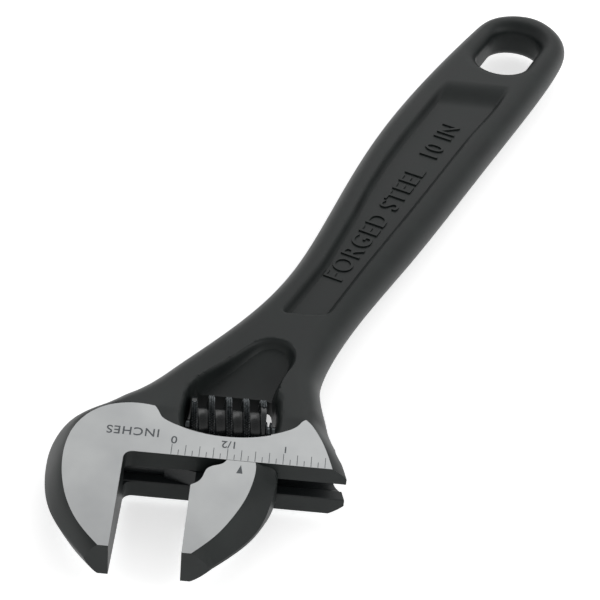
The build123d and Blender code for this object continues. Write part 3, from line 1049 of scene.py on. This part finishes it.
def makeSpring():
    size = springShape
    spring = growMesh("wormSpring", springTree(), {
        "Turns": size["turns"], "Radius": size["radius"] * mm, "Height": (size["end"] - size["start"]) * mm,
        "Wire": size["wire"] * mm, "Material": tempered})
    lift = Matrix.Translation((0, 0, (size["start"] - works["wormStart"]) * mm))
    spring.data.transform(wormPlace() @ lift)
    return spring


def makeKnurl():
    size = wormShape
    lead = works["lead"]
    tree = knurlTree()
    # from just inside the worm's left end to just inside its right end
    first = works["firstRidge"] - works["wormStart"] - lead / 4
    margin = 0.8
    startTurn = (margin - first) / lead
    endTurn = (works["wormLength"] - margin - first) / lead
    rows = []
    for row, shift in enumerate(size["knurlRows"]):
        turns = endTurn - startTurn
        count = int(turns * size["knurlPerTurn"])
        piece = growMesh(f"knurlRow{row}", tree, {
            "Turns": turns, "Radius": (size["ridgeTop"] + size["knurlRise"] / 2 - 0.04) * mm,
            "Height": turns * lead * mm, "Count": count, "Base": size["knurlBase"] * mm,
            "Rise": size["knurlRise"] * mm, "Material": scuffed})
        half = math.pi / size["knurlPerTurn"] * (row % 2)
        turn = Matrix.Rotation(2 * math.pi * startTurn + half, 4, "Z")
        lift = Matrix.Translation((0, 0, (first + startTurn * lead + shift + (half / (2 * math.pi)) * lead) * mm))
        piece.data.transform(wormPlace() @ lift @ turn)
        rows.append(piece)
    shape = bmesh.new()
    for piece in rows:
        shape.from_mesh(piece.data)
    mesh = bpy.data.meshes.new("wormKnurl")
    shape.to_mesh(mesh)
    shape.free()
    mesh.materials.append(scuffed)
    for piece in rows:
        bpy.data.objects.remove(piece)
    knurl = bpy.data.objects.new("wormKnurl", mesh)
    bpy.context.scene.collection.objects.link(knurl)
    return knurl


knurl = makeKnurl()
spring = makeSpring()
print("knurl made:", len(knurl.data.polygons), "faces")


# markings on the ground faces
def onGroundFace(mesh, lift):  # from (across, deep, height) in mm to the sloping front face
    for vert in mesh.vertices:
        a, b, h = vert.co
        vert.co = slidePlace(a, b, wedgeTop(b) + lift + h)
    mesh.update()


# Scale: marks every sixteenth of an inch along the lip's edge, every second one long.
def scaleTree():
    tree = nodeGroup("scaleMarks", {
        "Count": ("NodeSocketInt", 23),
        "Spacing": ("NodeSocketFloat", 1.5875),
        "Long": ("NodeSocketFloat", 2.8),
        "Short": ("NodeSocketFloat", 1.7),
        "Width": ("NodeSocketFloat", 0.16),
        "Thickness": ("NodeSocketFloat", 0.03),
        "Material": ("NodeSocketMaterial", None),
    })
    given = addNode(tree, "NodeGroupInput").outputs
    stepVector = addNode(tree, "ShaderNodeCombineXYZ", links={"X": given["Spacing"]})
    line = addNode(tree, "GeometryNodeMeshLine", links={"Count": given["Count"], "Offset": stepVector.outputs[0]})
    index = addNode(tree, "GeometryNodeInputIndex")
    odd = addNode(tree, "ShaderNodeMath", {"operation": "MODULO", 1: 2.0}, {0: index.outputs[0]})
    length = addNode(tree, "ShaderNodeMix", {"data_type": "FLOAT"},
                     {"Factor": odd.outputs[0], "A": given["Long"], "B": given["Short"]})
    size = addNode(tree, "ShaderNodeCombineXYZ",
                   links={"X": given["Width"], "Y": length.outputs[0], "Z": given["Thickness"]})
    halfLength = addNode(tree, "ShaderNodeMath", {"operation": "MULTIPLY", 1: 0.5}, {0: length.outputs[0]})
    shift = addNode(tree, "ShaderNodeCombineXYZ", links={"Y": halfLength.outputs[0]})
    moved = addNode(tree, "GeometryNodeSetPosition", links={"Geometry": line.outputs[0], "Offset": shift.outputs[0]})
    unit = addNode(tree, "GeometryNodeMeshCube", {"Size": (1, 1, 1)})
    marks = addNode(tree, "GeometryNodeInstanceOnPoints", links={
        "Points": moved.outputs[0], "Instance": unit.outputs["Mesh"], "Scale": size.outputs[0]})
    real = addNode(tree, "GeometryNodeRealizeInstances", links={"Geometry": marks.outputs[0]})
    paint = addNode(tree, "GeometryNodeSetMaterial", links={"Geometry": real.outputs[0], "Material": given["Material"]})
    addNode(tree, "NodeGroupOutput", links={"Geometry": paint.outputs[0]})
    return tree


def textMesh(words, size, depth, spacing=1.0, weight=0.0):  # flat letters, centred, in mm, reading along +X
    curve = bpy.data.curves.new("letters", "FONT")
    curve.body = words
    curve.size = size
    curve.extrude = depth / 2
    curve.align_x = "CENTER"
    curve.align_y = "CENTER"
    curve.space_character = spacing
    curve.offset = weight
    holder = bpy.data.objects.new("letters", curve)
    bpy.context.scene.collection.objects.link(holder)
    graph = bpy.context.evaluated_depsgraph_get()
    graph.update()
    mesh = bpy.data.meshes.new_from_object(holder.evaluated_get(graph))
    bpy.data.objects.remove(holder)
    bpy.data.curves.remove(curve)
    return mesh


scaleMarks = {
    "zero": 10.54,
    "spacing": 1.5875,
    "count": 23,
    "edgeGap": 0.1,
    "numbers": [("0", 0.3, 3.0), ("1/2", 12.9, 2.9), ("1", 25.7, 2.6)],
    "numberDeep": 4.5,
    "weight": 0.03,
    "word": "INCHES",
    "wordAcross": 1.3,
    "wordDeep": 6.0,
    "pointer": [(26.6, -1.2), (25.7, -3.7), (27.1, -3.7)],
}


def makeScale():
    size = scaleMarks
    marks = growMesh("scaleTicks", scaleTree(), {
        "Count": size["count"], "Spacing": size["spacing"], "Long": 3.0, "Short": 1.5, "Width": 0.15,
        "Thickness": 0.03, "Material": etched})
    marks.data.transform(Matrix.Translation((size["zero"], size["edgeGap"], 0)))
    shape = bmesh.new()
    shape.from_mesh(marks.data)
    flipped = Matrix.Rotation(math.pi, 4, "Z")
    words = [(label, size["zero"] + at, size["numberDeep"], height, 1.0) for label, at, height in size["numbers"]]
    words.append((size["word"], size["wordAcross"], size["wordDeep"], 3.3, 1.12))
    for label, a, b, height, gap in words:
        mesh = textMesh(label, height, 0.03, gap, size["weight"])
        mesh.transform(Matrix.Translation((a, b, 0)) @ flipped)
        shape.from_mesh(mesh)
        bpy.data.meshes.remove(mesh)
    shape.to_mesh(marks.data)
    shape.free()
    marks.data.materials.clear()
    marks.data.materials.append(etched)
    for polygon in marks.data.polygons:
        polygon.material_index = 0
    onGroundFace(marks.data, 0.01)
    return marks


scale = makeScale()
tri = scaleMarks["pointer"]
pointer = meshObject("jawPointer", [slidePlace(a, b, wedgeTop(b) + h) for h in (-0.02, 0.03) for a, b in tri],
                     [(0, 1, 2), (5, 4, 3), (0, 3, 4, 1), (1, 4, 5, 2), (2, 5, 3, 0)], etched)
print("scale made:", len(scale.data.polygons), "faces")


# Raised wording in the handle's panel: plain words and the size, forged with the handle.
panelWords = {"words": "FORGED STEEL  10 IN", "height": 7.6, "rise": 0.4, "along": 135.0, "side": -8.6, "floor": 3.6}


def makePanelWords():
    size = panelWords
    mesh = textMesh(size["words"], size["height"], 2 * size["rise"], 1.12)
    place = Matrix.Translation((size["along"] * mm, size["side"] * mm, size["floor"] * mm))
    mesh.transform(place @ Matrix.Scale(mm, 4))
    mesh.materials.clear()
    mesh.materials.append(forging)
    letters = bpy.data.objects.new("panelWords", mesh)
    bpy.context.scene.collection.objects.link(letters)
    return letters


letters = makePanelWords()

# bodies, slots and the CAD nodes that the pieces stand for: each piece goes under its body and its CAD node is hidden;
# the slot column is listed but not used
for piece, owner, slotName, stands in (
    (body, "frame", "forged_body", "body"),
    (letters, "frame", "forged_body", None),
    (scale, "frame", "forged_body", None),
    (jaw, "jaw", "forged_jaw", "movable_jaw"),
    (pointer, "jaw", "forged_jaw", None),
    (worm, "knurl", "worm_steel", "worm"),
    (knurl, "knurl", "worm_steel", None),
    (spring, "frame", "spring_steel", "worm_spring"),
):
    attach(piece, owner)
    if stands:
        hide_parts(stands)
pin = frame["nodes"]["worm_pin"]
pin.data.materials.clear()
pin.data.materials.append(tempered)

# floor and light
stage = {
    "floorDrop": 8.6,  # mm under the parting plane
    "floorSize": 3.0,  # m
    "floor": "#F2F2F2",
    "glow": 0.62,
    "horizon": 0.62,
    "sky": 0.80,
    "overhead": 0.40,
}


def makeStage(size):
    floorMaterial, tree = newMaterial("opalAcrylic")  # a light table: lit a little from below, so shadows stay faint
    shader = addNode(tree, "ShaderNodeBsdfPrincipled", {
        "Base Color": linear(size["floor"]), "Roughness": 0.9, "Specular IOR Level": 0.1,
        "Emission Color": linear(size["floor"]), "Emission Strength": size["glow"]})
    finishMaterial(tree, shader)
    half = size["floorSize"] / 2
    low = -size["floorDrop"] * mm
    floor = meshObject("floor", [(-half, -half, low), (half, -half, low), (half, half, low), (-half, half, low)],
                       [(0, 1, 2, 3)], floorMaterial)
    world = bpy.data.worlds.new("studio")
    world.use_nodes = True
    sky = world.node_tree  # a white tent: brightest a little over the table, with a dim ceiling
    way = addNode(sky, "ShaderNodeTexCoord").outputs["Generated"]
    height = addNode(sky, "ShaderNodeSeparateXYZ", links={"Vector": way}).outputs["Z"]
    grey = [[level] * 3 + [1] for level in (size["horizon"], size["sky"], size["overhead"])]
    tent = rampNode(sky, height, [(0.02, grey[0]), (0.25, grey[1]), (0.66, grey[1]), (0.95, grey[2])])
    sky.links.new(tent.outputs["Color"], sky.nodes["Background"].inputs["Color"])
    bpy.context.scene.world = world
    bpy.context.scene.view_settings.view_transform = "Standard"


def softbox(name, aim, turn, rise, distance, width, height, power):
    aim = Vector(aim) * mm
    heading = Vector((math.cos(math.radians(turn)) * deep[0] + math.sin(math.radians(turn)) * across[0],
                      math.cos(math.radians(turn)) * deep[1] + math.sin(math.radians(turn)) * across[1], 0))
    way = heading * math.cos(math.radians(rise)) + Vector((0, 0, math.sin(math.radians(rise))))
    data = bpy.data.lights.new(name, "AREA")
    data.shape = "RECTANGLE"
    data.size = width
    data.size_y = height
    data.energy = power
    lamp = bpy.data.objects.new(name, data)
    lamp.location = aim + way * distance
    lamp.rotation_euler = (-way).to_track_quat("-Z", "Y").to_euler()
    bpy.context.scene.collection.objects.link(lamp)


makeStage(stage)
softbox("backBox", (60, 0, 0), 20, 40, 1.0, 1.0, 0.5, 1.5)
softbox("sideBox", (60, 0, 0), 100, 30, 1.0, 0.6, 0.4, 1.5)
print("stage made")
